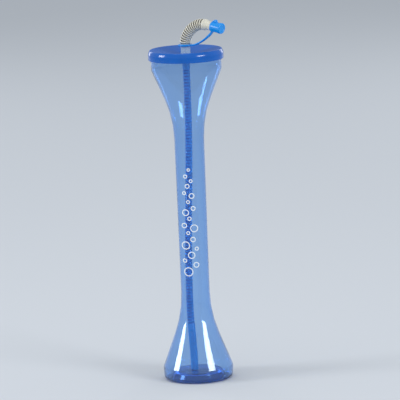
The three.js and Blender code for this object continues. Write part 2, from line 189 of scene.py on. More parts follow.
def rounded(corners, closed=False):
    """The corners' points in the XZ plane, with an arc of short steps at each rounded corner."""
    places = [Vector((c[0], c[1])) for c in corners]
    points = []
    for index, corner in enumerate(corners):
        here = places[index]
        rounding = corner[2] if len(corner) > 2 else 0
        if not rounding:
            points.append(here)
            continue
        back = places[index - 1] - here
        ahead = places[(index + 1) % len(places)] - here
        room = min(back.length, ahead.length) / 2
        back.normalize()
        ahead.normalize()
        half = back.angle(ahead) / 2
        run = min(rounding / math.tan(half), room)
        centre = here + (back + ahead).normalized() * run / math.cos(half)
        first = here + back * run - centre
        turn = math.copysign(math.pi - 2 * half, first.cross(here + ahead * run - centre))
        steps = max(2, math.ceil(abs(turn) / ARC_STEP), math.ceil(abs(turn) * run / ARC_RUN))
        for step in range(steps + 1):
            points.append(centre + Matrix.Rotation(turn * step / steps, 2) @ first)
    if closed:
        points.append(points[0])
    return [Vector((p.x, 0, p.y)) * MM for p in points]


# %% Lathe
SIDES = 128
CREASE = math.radians(32)
MERGE_DISTANCE = 0.001 * MM


def draw_line(name, points):
    """A wire through the points: one vertex, extruded from each point to the next."""
    bpy.ops.object.select_all(action="DESELECT")
    bpy.ops.mesh.primitive_plane_add(size=MM)
    piece = bpy.context.object
    piece.name = name
    piece.data.name = name
    bpy.ops.object.mode_set(mode="EDIT")
    bpy.ops.mesh.merge(type="CENTER")
    bpy.ops.transform.translate(value=points[0])
    for before, after in zip(points, points[1:]):
        bpy.ops.mesh.extrude_region_move(TRANSFORM_OT_translate={"value": after - before})
    return piece


def close_up(piece, crease=CREASE):
    """Merges doubles, turns the faces outwards and shades the piece smooth up to the crease angle."""
    bpy.ops.mesh.select_all(action="SELECT")
    bpy.ops.mesh.remove_doubles(threshold=MERGE_DISTANCE)
    bpy.ops.mesh.normals_make_consistent(inside=False)
    bpy.ops.object.mode_set(mode="OBJECT")
    bpy.ops.object.shade_smooth_by_angle(angle=crease)
    print(piece.name, "faces:", len(piece.data.polygons))
    return piece


def turned(name, points, sides=SIDES, crease=CREASE):
    """A section in the XZ plane, spun once round Z."""
    piece = draw_line(name, points)
    bpy.ops.mesh.select_all(action="SELECT")
    bpy.ops.mesh.spin(steps=sides, angle=2 * math.pi, center=(0, 0, 0), axis=(0, 0, 1))
    return close_up(piece, crease)


# %% [markdown]
# ## The cup
# A blown cup is one shell of even thickness. Air presses soft plastic against a two-part mould, so all
# its corners are round: a heel, a flare, a long waist with soft blends at both ends, a bowl, a short
# upright band and a rim. The foot is pushed up in the middle so that the cup stands on a ring. The
# section climbs the outside and comes back down the inside, which gives real wall thickness for light
# to bend through.

# %% Cup
WALL = 1.0
HEEL_WALL = 1.4
PUSH_UP_RADIUS = 24.6
PUSH_UP_HEIGHT = 7.5
STANDING_INNER = 27.6
STANDING_OUTER = 36.6
HEEL_RADIUS = 37.3
HEEL_TOP = 13.4
WAIST_FOOT_RADIUS = 15.1
WAIST_FOOT = 71.2
WAIST_TOP_RADIUS = 15.9
WAIST_TOP = 282.5
BAND_RADIUS = 37.4
BAND_FOOT = 333.6
RIM_RADIUS = 38.1
RIM_HEIGHT = 2.4
RIM_TOP = 353.6
CUP_FLOOR = 8.9
outside = [
    (0, PUSH_UP_HEIGHT),
    (PUSH_UP_RADIUS, PUSH_UP_HEIGHT, 2),
    (STANDING_INNER, 0, 2),
    (STANDING_OUTER, 0, 6),
    (HEEL_RADIUS, HEEL_TOP, 3),
    (WAIST_FOOT_RADIUS, WAIST_FOOT, 125),
    (WAIST_TOP_RADIUS, WAIST_TOP, 115),
    (BAND_RADIUS, BAND_FOOT, 5),
    (BAND_RADIUS, RIM_TOP - RIM_HEIGHT, 0.5),
    (RIM_RADIUS, RIM_TOP - RIM_HEIGHT, 0.5),
    (RIM_RADIUS, RIM_TOP, 0.5),
]
inside = [
    (BAND_RADIUS - WALL, RIM_TOP, 0.5),
    (BAND_RADIUS - WALL, BAND_FOOT, 4),
    (WAIST_TOP_RADIUS - WALL, WAIST_TOP, 116),
    (WAIST_FOOT_RADIUS - WALL, WAIST_FOOT, 126),
    (HEEL_RADIUS - WALL, HEEL_TOP, 2),
    (STANDING_OUTER - WALL, HEEL_WALL, 5),
    (STANDING_INNER + WALL, HEEL_WALL, 2),
    (PUSH_UP_RADIUS + WALL, CUP_FLOOR, 2),
    (0, CUP_FLOOR),
]
cup = turned("cup", rounded(outside + inside))

# %% [markdown]
# ## The print
# Rising bubbles in white ink decorate the waist. Such a print is pressed through a screen while the cup
# rolls under it, so it is flat line art that follows the wall. The rings are drawn flat in front of the
# cup and then projected onto it, which keeps their lines even. Solidify gives the ink its thickness.

# %% Bubbles
# Each bubble has a place across the print, a height and a radius. They get smaller as they rise.
bubbles = [
    (-2.7, 118.0, 4.9),
    (5.7, 125.5, 3.1),
    (-6.2, 130.0, 2.3),
    (1.1, 136.0, 3.9),
    (6.8, 143.0, 2.2),
    (-4.6, 146.5, 4.4),
    (3.2, 153.0, 2.9),
    (-1.6, 160.0, 2.1),
    (4.9, 165.0, 4.2),
    (-5.4, 168.0, 2.9),
    (0.3, 175.5, 2.3),
    (-3.5, 182.0, 3.6),
    (4.6, 186.5, 2.6),
    (-0.5, 193.5, 2.1),
    (3.5, 200.0, 3.1),
    (-4.3, 203.0, 2.1),
    (-0.8, 210.5, 2.6),
    (3.2, 216.0, 2.0),
    (-2.4, 221.0, 2.2),
    (1.1, 228.0, 1.8),
]
print("bubbles:", len(bubbles))

# %% Flat rings
PRINT_MIDDLE = -3.5
PRINT_STAND_OFF = 30
PRINT_LINE = 1.0
RING_SIDES = 48

bpy.ops.object.select_all(action="DESELECT")
bpy.ops.mesh.primitive_plane_add(size=MM)
bubble_print = bpy.context.object
bubble_print.name = "bubble_print"
bubble_print.data.name = "bubble_print"
bpy.ops.object.mode_set(mode="EDIT")
bpy.ops.mesh.delete(type="VERT")
for across, height, radius in bubbles:
    bpy.ops.mesh.primitive_circle_add(
        vertices=RING_SIDES, radius=radius * MM, fill_type="NGON", rotation=(math.pi / 2, 0, 0),
        location=Vector((PRINT_MIDDLE + across, -PRINT_STAND_OFF, height)) * MM)
bpy.ops.mesh.select_all(action="SELECT")
bpy.ops.mesh.inset(thickness=PRINT_LINE * MM, use_individual=True)
bpy.ops.mesh.delete(type="FACE")
bpy.ops.object.mode_set(mode="OBJECT")
print("flat ring faces:", len(bubble_print.data.polygons))

# %% Print on the wall
# Screen ink lies about 0.02 mm thick. The film is drawn at 0.06 mm, so that it stands clear of the wall.
INK_FILM = 0.06
INK_LIFT = 0.03
onto_wall = bubble_print.modifiers.new("onto the wall", "SHRINKWRAP")
onto_wall.target = cup
onto_wall.wrap_method = "PROJECT"
onto_wall.wrap_mode = "ABOVE_SURFACE"
onto_wall.use_project_y = True
onto_wall.offset = INK_LIFT * MM
bpy.ops.object.modifier_apply(modifier=onto_wall.name)
film = bubble_print.modifiers.new("ink film", "SOLIDIFY")
film.thickness = INK_FILM * MM
film.offset = 1
bpy.ops.object.modifier_apply(modifier=film.name)
bpy.ops.object.shade_smooth_by_angle(angle=CREASE)
print("print's lowest corner in mm:", [round(c / MM, 2) for c in bubble_print.bound_box[0]])

# %% [markdown]
# ## The lid
# The lid is one moulding: a skirt that grips the rim from outside, a narrow crown over the rim, and a
# plate that is dished, so that drips run to the middle. A short collar under the plate guides the straw.
# The shoulder falls more than it runs. A single round can't do that, so it is drawn as two corners with
# a wide and a narrow rounding.

# %% Lid
CROWN_TOP = RIM_TOP + 1.6
CROWN_FOOT = RIM_TOP + 0.3
CROWN_INNER = 36
CROWN_OUTER = 38.4
PLATE_TOP = RIM_TOP - 4
PLATE_FOOT = PLATE_TOP - 1.5
DISH_RADIUS = 12
DISH_ROUND = 12
STRAW_HOLE = 4.3
COLLAR_RADIUS = 5.9
COLLAR_FOOT = PLATE_FOOT - 3.5
SKIRT_INNER = 38.4
SKIRT_OUTER = 40
SKIRT_FOOT = RIM_TOP - 9
SHOULDER_FOOT = CROWN_TOP - 3.3
lid_section = [
    (STRAW_HOLE, PLATE_TOP, 0.3),
    (STRAW_HOLE, COLLAR_FOOT, 0.3),
    (COLLAR_RADIUS, COLLAR_FOOT, 0.3),
    (COLLAR_RADIUS, PLATE_FOOT, 0.5),
    (DISH_RADIUS - 1, PLATE_FOOT, DISH_ROUND),
    (CROWN_INNER, CROWN_FOOT, DISH_ROUND),
    (SKIRT_INNER, CROWN_FOOT, 0.8),
    (SKIRT_INNER, SKIRT_FOOT, 0.3),
    (SKIRT_OUTER, SKIRT_FOOT, 0.7),
    (SKIRT_OUTER, SHOULDER_FOOT, 8),
    (CROWN_OUTER, CROWN_TOP, 2),
    (CROWN_INNER, CROWN_TOP, DISH_ROUND),
    (DISH_RADIUS, PLATE_TOP, DISH_ROUND),
]
lid = turned("lid_shell", rounded(lid_section, closed=True))

# %% [markdown]
# ## Ribbed tubes, bent along a line
# The straw and the bend of the spout are corrugated. Such a tube is drawn straight, with one rib after
# another up its outside, and turned like the other pieces. A Curve modifier then lays it along a
# Bezier line, as a bendy straw is pulled round by hand. Drawing the ribs already bent would need a
# different ring for every step.

# %% Ribbed tube helpers
RIB_STEPS = 8
RIB_CREASE = math.radians(70)
# Painted shade between the ribs: how sharply it follows the rib depth, and how much the inside and
# outside of a bend get.
GROOVE_SHADE_SHARPNESS = 1.5
INNER_SHADE_SHARE = 0.2
OUTER_SHADE_GAIN = 1.3


def ribbed_line(foot, top, root, crest, ribs):
    """Points up a corrugated wall, as (radius, height) pairs."""
    points = []
    for step in range(ribs * RIB_STEPS + 1):
        swing = 0.5 - 0.5 * math.cos(2 * math.pi * step / RIB_STEPS)
        height = foot + (top - foot) * step / (ribs * RIB_STEPS)
        points.append((root + (crest - root) * swing, height))
    return points


def mark_groove_shade(piece, root, crest):
    """A mask for painted shade: how deep each vertex lies between the ribs. The inside of the bend gets
    less painted shade than the outside.
    """
    depth = piece.data.attributes.new("groove_shade", "FLOAT", "POINT")
    for vertex, mark in zip(piece.data.vertices, depth.data):
        radius = math.hypot(vertex.co.x, vertex.co.y) / MM
        share = (crest - radius) / (crest - root)
        sunk = min(max(0.5 + GROOVE_SHADE_SHARPNESS * (share - 0.5), 0), 1)
        # The Curve modifier turns the straight tube's +X side to the outside of the bend.
        outer_side = 0.5 + 0.5 * vertex.co.x / (radius * MM)
        # Painted shade: strongest deep in a groove on the outside of the bend.
        mark.value = sunk * min(INNER_SHADE_SHARE + OUTER_SHADE_GAIN * outer_side, 1)


def laid_along(piece, knots):
    """Bends a straight upright piece along a Bezier line of (handle, knot, handle) places in mm."""
    bpy.ops.object.select_all(action="DESELECT")
    bpy.ops.curve.primitive_bezier_curve_add()
    line = bpy.context.object
    spline = line.data.splines[0]
    spline.bezier_points.add(len(knots) - 2)
    for point, (before, place, after) in zip(spline.bezier_points, knots):
        point.handle_left_type = point.handle_right_type = "FREE"
        point.handle_left = Vector(before) * MM
        point.co = Vector(place) * MM
        point.handle_right = Vector(after) * MM
    line.data.resolution_u = 64
    line.data.use_stretch = True
    line.data.use_deform_bounds = True
    bpy.context.view_layer.objects.active = piece
    bend = piece.modifiers.new("along the line", "CURVE")
    bend.object = line
    bend.deform_axis = "POS_Z"
    bpy.ops.object.modifier_apply(modifier=bend.name)
    bpy.data.objects.remove(line)
    return piece


# %% [markdown]
# ## The straw
# The straw hangs through the lid, runs straight for a while, leans against one side of the waist in a
# slow bow, and comes back towards the middle at the cup's floor. It is corrugated down to the flare and
# plain below that. It could be bent by hand, ring by ring. Laying it along a line of four knots is
# quicker, and upright handles at each knot keep the bow free of kinks.

# %% Straw, still straight
STRAW_RADIUS = 4.0
STRAW_ROOT = STRAW_RADIUS - 0.55
STRAW_BORE = 2.85
STRAW_TOP = PLATE_TOP + 7.5
STRAW_FOOT = CUP_FLOOR + 0.3
RIBS_FROM = STRAW_FOOT + 51
RIBS_TO = STRAW_TOP - 24
STRAW_RIBS = 82
RIB_LEAD = 1
PLAIN_STEP = 17
BORE_STEPS = 60


def bore_line(radius, top, foot, steps):
    """Points down a plain bore, as (radius, height) pairs."""
    return [(radius, top + (foot - top) * step / steps) for step in range(steps + 1)]


straw_wall = [(STRAW_RADIUS, STRAW_FOOT + PLAIN_STEP * step) for step in range(3)]
straw_wall += [(STRAW_RADIUS, RIBS_FROM - RIB_LEAD)]
straw_wall += ribbed_line(RIBS_FROM, RIBS_TO, STRAW_ROOT, STRAW_RADIUS, STRAW_RIBS)
straw_wall += [(STRAW_RADIUS, RIBS_TO + RIB_LEAD), (STRAW_RADIUS, STRAW_TOP)]
straw_bore = bore_line(STRAW_BORE, STRAW_TOP, STRAW_FOOT, BORE_STEPS)
straw = turned("straw", rounded(straw_wall + straw_bore, closed=True), sides=24, crease=RIB_CREASE)
# Marks where shade is painted between the straw's ribs.
mark_groove_shade(straw, STRAW_ROOT, STRAW_RADIUS)

# %% Straw, bowed
STRAW_LEAN = 3.9
STRAW_BOW = 6.4
BOW_HEIGHT = 83.2
STRAIGHT_FOOT = STRAW_TOP - 55
UPPER_HANDLE = 0.4 * (STRAIGHT_FOOT - BOW_HEIGHT)
LOWER_HANDLE = 0.4 * (BOW_HEIGHT - STRAW_FOOT)
STRAIGHT_HANDLE = 18


def upright_knot(across, height, below, above):
    """A knot of the straw's line, with upright handles of the given lengths."""
    return (across, 0, height - below), (across, 0, height), (across, 0, height + above)


laid_along(straw, [
    upright_knot(-STRAW_LEAN, STRAW_FOOT, 0, LOWER_HANDLE),
    upright_knot(-STRAW_BOW, BOW_HEIGHT, LOWER_HANDLE, UPPER_HANDLE),
    upright_knot(0, STRAIGHT_FOOT, UPPER_HANDLE, STRAIGHT_HANDLE),
    upright_knot(0, STRAW_TOP, STRAIGHT_HANDLE, 0),
])
print("straw's lowest corner in mm:", [round(c / MM, 1) for c in straw.bound_box[0]])

# %% [markdown]
# ## The spout
# The spout is a wider, milky tube that stands over the straw's end. A plain stub carries the cap's ring
# under a small bead, then comes the corrugated bend, and a plain tip that narrows to the mouthpiece.
# The stub and the tip are turned. The bend is laid along a curve from upright to drooping, and the tip
# is turned upright first and then carried to the end of it.

# %% Spout stub
SPOUT_FACING = math.radians(-36)
FACING = Matrix.Rotation(SPOUT_FACING, 4, "Z")
STUB_BORE = 4.2
STUB_RADIUS = 5.15
STUB_FOOT = PLATE_TOP + 0.3
RING_FOOT = PLATE_TOP + 9
RING_TOP = RING_FOOT + 1.8
BEAD_TOP = RING_TOP + 0.9
BEAD_FOOT = BEAD_TOP - 0.6
BEAD_RADIUS = STUB_RADIUS + 0.6
stub_section = [
    (STUB_BORE, BEAD_TOP, 0.2),
    (STUB_BORE, STUB_FOOT, 0.2),
    (STUB_RADIUS, STUB_FOOT, 0.3),
    (STUB_RADIUS, BEAD_FOOT, 0.2),
    (BEAD_RADIUS, BEAD_FOOT, 0.3),
    (BEAD_RADIUS, BEAD_TOP, 0.3),
]
stub = turned("spout_stub_tube", rounded(stub_section, closed=True), sides=64)

# %% Spout bend, still straight
BEND_FOOT = BEAD_TOP + 0.3
BEND_LENGTH = 37.8
PLAIN_END = 3
BEND_RIBS = 13
BEND_ROOT = 5.2
BEND_CREST = 5.97
BEND_BORE = 4.5
BEND_BORE_STEPS = 40
TIP_RADIUS = 5.9

ribbed_top = BEND_FOOT + BEND_LENGTH - PLAIN_END
bend_top = BEND_FOOT + BEND_LENGTH
bend_wall = ribbed_line(BEND_FOOT, ribbed_top, BEND_ROOT, BEND_CREST, BEND_RIBS)
bend_wall += [(TIP_RADIUS, ribbed_top + 1.3), (TIP_RADIUS, ribbed_top + 2.1), (TIP_RADIUS, bend_top)]
bend_bore = bore_line(BEND_BORE, bend_top, BEND_FOOT, BEND_BORE_STEPS)
bend = turned("spout_bend", rounded(bend_wall + bend_bore, closed=True), sides=64, crease=RIB_CREASE)
# Marks where shade is painted between the bend's ribs.
mark_groove_shade(bend, BEND_ROOT, BEND_CREST)

# %% Spout bend, bent
BEND_REACH = 27.2
BEND_RISE = 20.5
FOOT_PULL = 8
END_PULL = 15.9
TIP_DROOP = math.radians(9.4)
bend_start = Vector((0, 0, BEND_FOOT))
bend_end = Vector((BEND_REACH, 0, BEND_FOOT + BEND_RISE))
bend_way = Vector((math.cos(TIP_DROOP), 0, -math.sin(TIP_DROOP)))
laid_along(bend, [
    (bend_start, bend_start, bend_start + Vector((0, 0, FOOT_PULL))),
    (bend_end - END_PULL * bend_way, bend_end, bend_end),
])
bend.data.transform(FACING)
print("bend's end in mm:", [round(c, 1) for c in FACING @ bend_end])

# %% Spout tip
TIP_TURN = math.pi / 2 + TIP_DROOP
ON_TIP = FACING @ Matrix.Translation(bend_end * MM) @ Matrix.Rotation(TIP_TURN, 4, "Y")
CAP_MOUTH = 8.5
MOUTHPIECE_END = CAP_MOUTH + 5
MOUTHPIECE_RADIUS = 4.4
MOUTHPIECE_BORE = 3.5
TIP_FOOT = 0.02
TAPER_FOOT = 0.6
TAPER_TOP = 3.3
NECK_RADIUS = 4.8
NECK_END = CAP_MOUTH - 0.3
tip_section = [
    (MOUTHPIECE_BORE, MOUTHPIECE_END, 0.3),
    (MOUTHPIECE_BORE, TIP_FOOT),
    (TIP_RADIUS, TIP_FOOT),
    (TIP_RADIUS, TAPER_FOOT, 1.3),
    (NECK_RADIUS, TAPER_TOP, 1.3),
    (NECK_RADIUS, NECK_END, 0.15),
    (MOUTHPIECE_RADIUS, NECK_END, 0.1),
    (MOUTHPIECE_RADIUS, MOUTHPIECE_END, 0.3),
]
tip = turned("spout_mouthpiece", rounded(tip_section, closed=True), sides=64)
tip.data.transform(ON_TIP)

# %% [markdown]
# ## The tethered cap
# Ring, strap and cap come out of one mould in a soft plastic. The ring lies round the stub under its
# bead. The flat strap leaves it level and swings up to the cap. The cap is a small cup over the
# mouthpiece, with a flanged end that is dished in the middle and a thumb tab on top. The round parts are
# turned. The strap is a ribbon along a curve, thickened afterwards, because its section is the same all
# the way. The tab and the lug that holds the strap are rounded blocks, joined to the cap by a Boolean.

# %% Tether ring
RING_RADIUS = 7.75
RING_BORE = 5.35
ring_section = [
    (RING_BORE, RING_TOP, 0.2),
    (RING_BORE, RING_FOOT, 0.2),
    (RING_RADIUS, RING_FOOT, 0.45),
    (RING_RADIUS, RING_TOP, 0.45),
]
ring = turned("tether_washer", rounded(ring_section, closed=True), sides=64)

# %% Strap line
STRAP_STEPS = 24
IN_RING = 1
RING_PULL = 11.3
LUG_PULL = 1.3
IN_LUG = 0.3
CAP_RADIUS = 5.4
LUG_FACE = CAP_RADIUS + 0.6
LUG_LENGTH = 1.8
LUG_MIDDLE = CAP_MOUTH + LUG_LENGTH / 2


def beside_tip(out):
    """A place on the tip's lower side, in the spout's own plane, in mm."""
    return bend_end + Matrix.Rotation(TIP_TURN, 3, "Y") @ Vector((out, 0, LUG_MIDDLE))


ring_middle = (RING_FOOT + RING_TOP) / 2
strap_pulls = [
    Vector((RING_RADIUS - IN_RING, 0, ring_middle)),
    Vector((RING_RADIUS + RING_PULL, 0, ring_middle)),
    beside_tip(LUG_FACE + LUG_PULL),
    beside_tip(LUG_FACE - IN_LUG),
]


def strap_at(share):
    """A place on the strap's Bezier line."""
    a, b, c, d = strap_pulls
    rest = 1 - share
    return a * rest**3 + 3 * b * rest**2 * share + 3 * c * rest * share**2 + d * share**3


strap_line = [strap_at(step / STRAP_STEPS) for step in range(STRAP_STEPS + 1)]
strap_length = sum((after - before).length for before, after in zip(strap_line, strap_line[1:]))
print("strap length in mm:", round(strap_length, 1))

# %% Strap
STRAP_WIDTH = 3.4
STRAP_THICKNESS = 1.8
STRAP_EDGE = 0.45
STRAP_SPLIT = 0.62
STRAP_CREASE = math.radians(40)


def strap_part(name, first, last):
    """Part of the strap: its line is extruded sideways to a ribbon, thickened and rounded."""
    shares = [first + (last - first) * step / STRAP_STEPS for step in range(STRAP_STEPS + 1)]
    piece = draw_line(name, [strap_at(share) * MM for share in shares])
    bpy.ops.mesh.select_all(action="SELECT")
    bpy.ops.transform.translate(value=(0, -STRAP_WIDTH / 2 * MM, 0))
    bpy.ops.mesh.extrude_region_move(TRANSFORM_OT_translate={"value": (0, STRAP_WIDTH * MM, 0)})
    close_up(piece)
    thick = piece.modifiers.new("thickness", "SOLIDIFY")
    thick.thickness = STRAP_THICKNESS * MM
    thick.offset = 0
    bpy.ops.object.modifier_apply(modifier=thick.name)
    soft = piece.modifiers.new("soft edges", "BEVEL")
    soft.width = STRAP_EDGE * MM
    soft.segments = 3
    bpy.ops.object.modifier_apply(modifier=soft.name)
    bpy.ops.object.shade_smooth_by_angle(angle=STRAP_CREASE)
    piece.data.transform(FACING)
    return piece


strap_low = strap_part("strap_by_ring", 0, STRAP_SPLIT)
strap_high = strap_part("strap_by_cap", STRAP_SPLIT, 1)

# %% Straw cap
CAP_END = CAP_MOUTH + 13.3
CAP_BORE = 4.7
CAP_BORE_END = CAP_MOUTH + 10.8
FLANGE_RADIUS = 5.77
FLANGE_FOOT = CAP_END - 3.6
CAP_DISH = 3.1
CAP_DISH_DEPTH = 0.5
cap_section = [
    (0, CAP_BORE_END),
    (CAP_BORE, CAP_BORE_END, 0.3),
    (CAP_BORE, CAP_MOUTH, 0.2),
    (CAP_RADIUS, CAP_MOUTH, 0.25),
    (CAP_RADIUS, FLANGE_FOOT, 0.15),
    (FLANGE_RADIUS, FLANGE_FOOT, 0.2),
    (FLANGE_RADIUS, CAP_END, 1.5),
    (CAP_DISH + 0.5, CAP_END, 0.25),
    (CAP_DISH, CAP_END - CAP_DISH_DEPTH, 0.25),
    (0, CAP_END - CAP_DISH_DEPTH),
]
cap = turned("cap_cup", rounded(cap_section), sides=96)

# %% Blocks on the cap
def cap_block(name, low, high):
    """A plain block on the cap, from its lowest to its highest corner."""
    bpy.ops.object.select_all(action="DESELECT")
    bpy.ops.mesh.primitive_cube_add(size=1)
    piece = bpy.context.object
    piece.name = name
    piece.data.name = name
    size = Vector(high) - Vector(low)
    middle = (Vector(high) + Vector(low)) / 2
    piece.data.transform(Matrix.Translation(middle * MM) @ Matrix.Diagonal((*(size * MM), 1)))
    return piece


def join_to_cap(block, rounding):
    """Rounds a block's edges and joins it to the cap as one solid."""
    bpy.context.view_layer.objects.active = block
    soft = block.modifiers.new("soft edges", "BEVEL")
    soft.width = rounding * MM
    soft.segments = 4
    bpy.ops.object.modifier_apply(modifier=soft.name)
    bpy.context.view_layer.objects.active = cap
    union = cap.modifiers.new("one moulding", "BOOLEAN")
    union.operation = "UNION"
    union.object = block
    bpy.ops.object.modifier_apply(modifier=union.name)
    bpy.data.objects.remove(block)


# %% Thumb tab
BLOCK_ROOT = 4.9
TAB_LENGTH = 6.2
TAB_WIDTH = 4.0
TAB_TOP = CAP_RADIUS + 2.2
TAB_FRONT_SLOPE = 2.6
TAB_BACK_SLOPE = 1.4
TAB_ROUND = 0.5
tab = cap_block(
    "tab",
    (-TAB_TOP, -TAB_WIDTH / 2, CAP_MOUTH),
    (-BLOCK_ROOT, TAB_WIDTH / 2, CAP_MOUTH + TAB_LENGTH),
)
for front, slope in ((True, TAB_FRONT_SLOPE), (False, -TAB_BACK_SLOPE)):
    bpy.ops.object.mode_set(mode="EDIT")
    bpy.ops.mesh.select_all(action="DESELECT")
    bpy.ops.object.mode_set(mode="OBJECT")
    for vertex in tab.data.vertices:
        on_top = vertex.co.x < -CAP_RADIUS * MM
        vertex.select = on_top and (vertex.co.z < (CAP_MOUTH + TAB_LENGTH / 2) * MM) == front
    bpy.ops.object.mode_set(mode="EDIT")
    bpy.ops.transform.translate(value=(0, 0, slope * MM))
    bpy.ops.object.mode_set(mode="OBJECT")
join_to_cap(tab, TAB_ROUND)
print("cap faces with the tab:", len(cap.data.polygons))

# %% Lug
LUG_ROUND = 0.2
CAP_CREASE = math.radians(35)
lug = cap_block(
    "lug",
    (BLOCK_ROOT, -STRAP_WIDTH / 2, CAP_MOUTH),
    (LUG_FACE, STRAP_WIDTH / 2, CAP_MOUTH + LUG_LENGTH),
)
join_to_cap(lug, LUG_ROUND)
cap.data.transform(ON_TIP)
bpy.ops.object.select_all(action="DESELECT")
cap.select_set(True)
bpy.ops.object.shade_smooth_by_angle(angle=CAP_CREASE)
print("cap faces with the lug:", len(cap.data.polygons))

# %% [markdown]
# ## Finishes
# Five plastics and an ink make up the cup. Each material starts from what the real plastic is and how
# it was formed, because that decides its gloss, how far light goes into it, and what marks it carries.
# A picture of each surface could be wrapped round it, but patterns from nodes keep their real scale and
# need no unwrapping.

# %% Tinted clear plastic
# PET, blown against a polished mould: very glossy, with slow waves where the wall's thickness varies,
# a fine line where the mould's halves met, and a dull, scuffed heel.
cup_plastic, tree, output = new_material("tinted clear PET")
where = add(tree, "ShaderNodeTexCoord")
place = add(tree, "ShaderNodeSeparateXYZ", {"Vector": where.outputs["Object"]})
WAVE_LENGTH = 22 * MM
waves = add(tree, "ShaderNodeTexNoise", {
    "Vector": where.outputs["Object"], "Scale": 1 / WAVE_LENGTH, "Detail": 1.0})
SCUFF_LENGTH = 1.2 * MM
scuffs = add(tree, "ShaderNodeTexNoise", {
    "Vector": where.outputs["Object"], "Scale": 1 / SCUFF_LENGTH, "Detail": 4.0})
SCUFF_TOP = 14 * MM
SCUFF_FOOT = 1 * MM
SCUFFED = 0.22
near_heel = add(tree, "ShaderNodeMapRange", {
    "Value": place.outputs["Z"], "From Min": SCUFF_TOP, "From Max": SCUFF_FOOT,
    "To Min": 0.0, "To Max": SCUFFED})
scuffed = add(tree, "ShaderNodeMath", {
    0: near_heel.outputs["Result"], 1: scuffs.outputs["Fac"]}, operation="MULTIPLY")
BLOWN_GLOSS = 0.03
gloss = add(tree, "ShaderNodeMath", {0: scuffed.outputs["Value"], 1: BLOWN_GLOSS}, operation="ADD")
off_seam = add(tree, "ShaderNodeMath", {0: place.outputs["X"]}, operation="ABSOLUTE")
SEAM_WIDTH = 0.35 * MM
SEAM_RELIEF = 0.2
seam = add(tree, "ShaderNodeMapRange", {
    "Value": off_seam.outputs["Value"], "From Min": SEAM_WIDTH, "From Max": 0.0,
    "To Min": 0.0, "To Max": SEAM_RELIEF}, interpolation_type="SMOOTHSTEP")
relief = add(tree, "ShaderNodeMath", {
    0: waves.outputs["Fac"], 1: seam.outputs["Result"]}, operation="ADD")
bump = add(tree, "ShaderNodeBump", {
    "Height": relief.outputs["Value"], "Strength": 0.25, "Distance": 0.6 * MM})
clear = add(tree, "ShaderNodeBsdfPrincipled", {
    "Base Color": (1, 1, 1, 1), "Roughness": gloss.outputs["Value"], "IOR": 1.57,
    "Transmission Weight": 1.0, "Normal": bump.outputs["Normal"]})
tint = add(tree, "ShaderNodeVolumeAbsorption", {"Color": linear("56c3fb"), "Density": 650.0})
tree.links.new(clear.outputs["BSDF"], output.inputs["Surface"])
tree.links.new(tint.outputs["Volume"], output.inputs["Volume"])

# %% Print ink
# White screen ink: matt, and thinner in spots where the screen let less through, so that the blue cup
# shows in them a little.
print_ink, tree, output = new_material("white screen-print ink")
where = add(tree, "ShaderNodeTexCoord")
THIN_SPOT = 1.5 * MM
cover = add(tree, "ShaderNodeTexNoise", {
    "Vector": where.outputs["Object"], "Scale": 1 / THIN_SPOT, "Detail": 2.0})
colour = add(tree, "ShaderNodeMix", {
    "Factor": cover.outputs["Fac"], "A": linear("d8e3ee"), "B": linear("f8fafb")}, data_type="RGBA")
bump = add(tree, "ShaderNodeBump", {
    "Height": cover.outputs["Fac"], "Strength": 0.2, "Distance": 0.02 * MM})
ink = add(tree, "ShaderNodeBsdfPrincipled", {
    "Base Color": colour.outputs["Result"], "Roughness": 0.55, "Normal": bump.outputs["Normal"]})
tree.links.new(ink.outputs["BSDF"], output.inputs["Surface"])

# %% Lid plastic
# Polypropylene with blue pigment. The skirt and shoulder come from a polished part of the mould, so they
# show sharp glints. The crown and the dished plate come from a sparked, satin part, so they stay dull.
lid_plastic, tree, output = new_material("blue polypropylene")
where = add(tree, "ShaderNodeTexCoord")
FLOW_LENGTH = 14 * MM
flow = add(tree, "ShaderNodeTexNoise", {
    "Vector": where.outputs["Object"], "Scale": 1 / FLOW_LENGTH, "Detail": 3.0})
colour = add(tree, "ShaderNodeMix", {
    "Factor": flow.outputs["Fac"], "A": linear("0054aa"), "B": linear("0062c4")}, data_type="RGBA")
flat = add(tree, "ShaderNodeVectorMath", {
    0: where.outputs["Object"], 1: (1, 1, 0)}, operation="MULTIPLY")
radius = add(tree, "ShaderNodeVectorMath", {0: flat.outputs["Vector"]}, operation="LENGTH")
SATIN_EDGE = 38.6 * MM
SATIN_FADE = 1 * MM
satin = add(tree, "ShaderNodeMapRange", {
    "Value": radius.outputs["Value"], "From Min": SATIN_EDGE, "From Max": SATIN_EDGE - SATIN_FADE,
    "To Min": 0.0, "To Max": 1.0})
POLISHED = 0.13
SATIN = 0.55
gloss = add(tree, "ShaderNodeMapRange", {
    "Value": satin.outputs["Result"], "To Min": POLISHED, "To Max": SATIN})
# Spark marks are about 0.1 mm wide. They are drawn at 0.6 mm, so that they show.
SPARK_MARK = 0.6 * MM
sparks = add(tree, "ShaderNodeTexNoise", {
    "Vector": where.outputs["Object"], "Scale": 1 / SPARK_MARK, "Detail": 2.0})
POLISHED_RELIEF = 0.04
SATIN_RELIEF = 0.4
depth = add(tree, "ShaderNodeMapRange", {
    "Value": satin.outputs["Result"], "To Min": POLISHED_RELIEF, "To Max": SATIN_RELIEF})
bump = add(tree, "ShaderNodeBump", {
    "Height": sparks.outputs["Fac"], "Strength": depth.outputs["Result"], "Distance": 0.06 * MM})
shell = add(tree, "ShaderNodeBsdfPrincipled", {
    "Base Color": colour.outputs["Result"], "Roughness": gloss.outputs["Result"], "IOR": 1.49,
    "Normal": bump.outputs["Normal"]})
tree.links.new(shell.outputs["BSDF"], output.inputs["Surface"])

# %% Moulded plastic
# A mould's fine grain is about 0.05 mm wide. It is drawn at 0.4 mm, so that it shows.
GRAIN = 0.4 * MM
GLOSS_DRIFT = 0.05


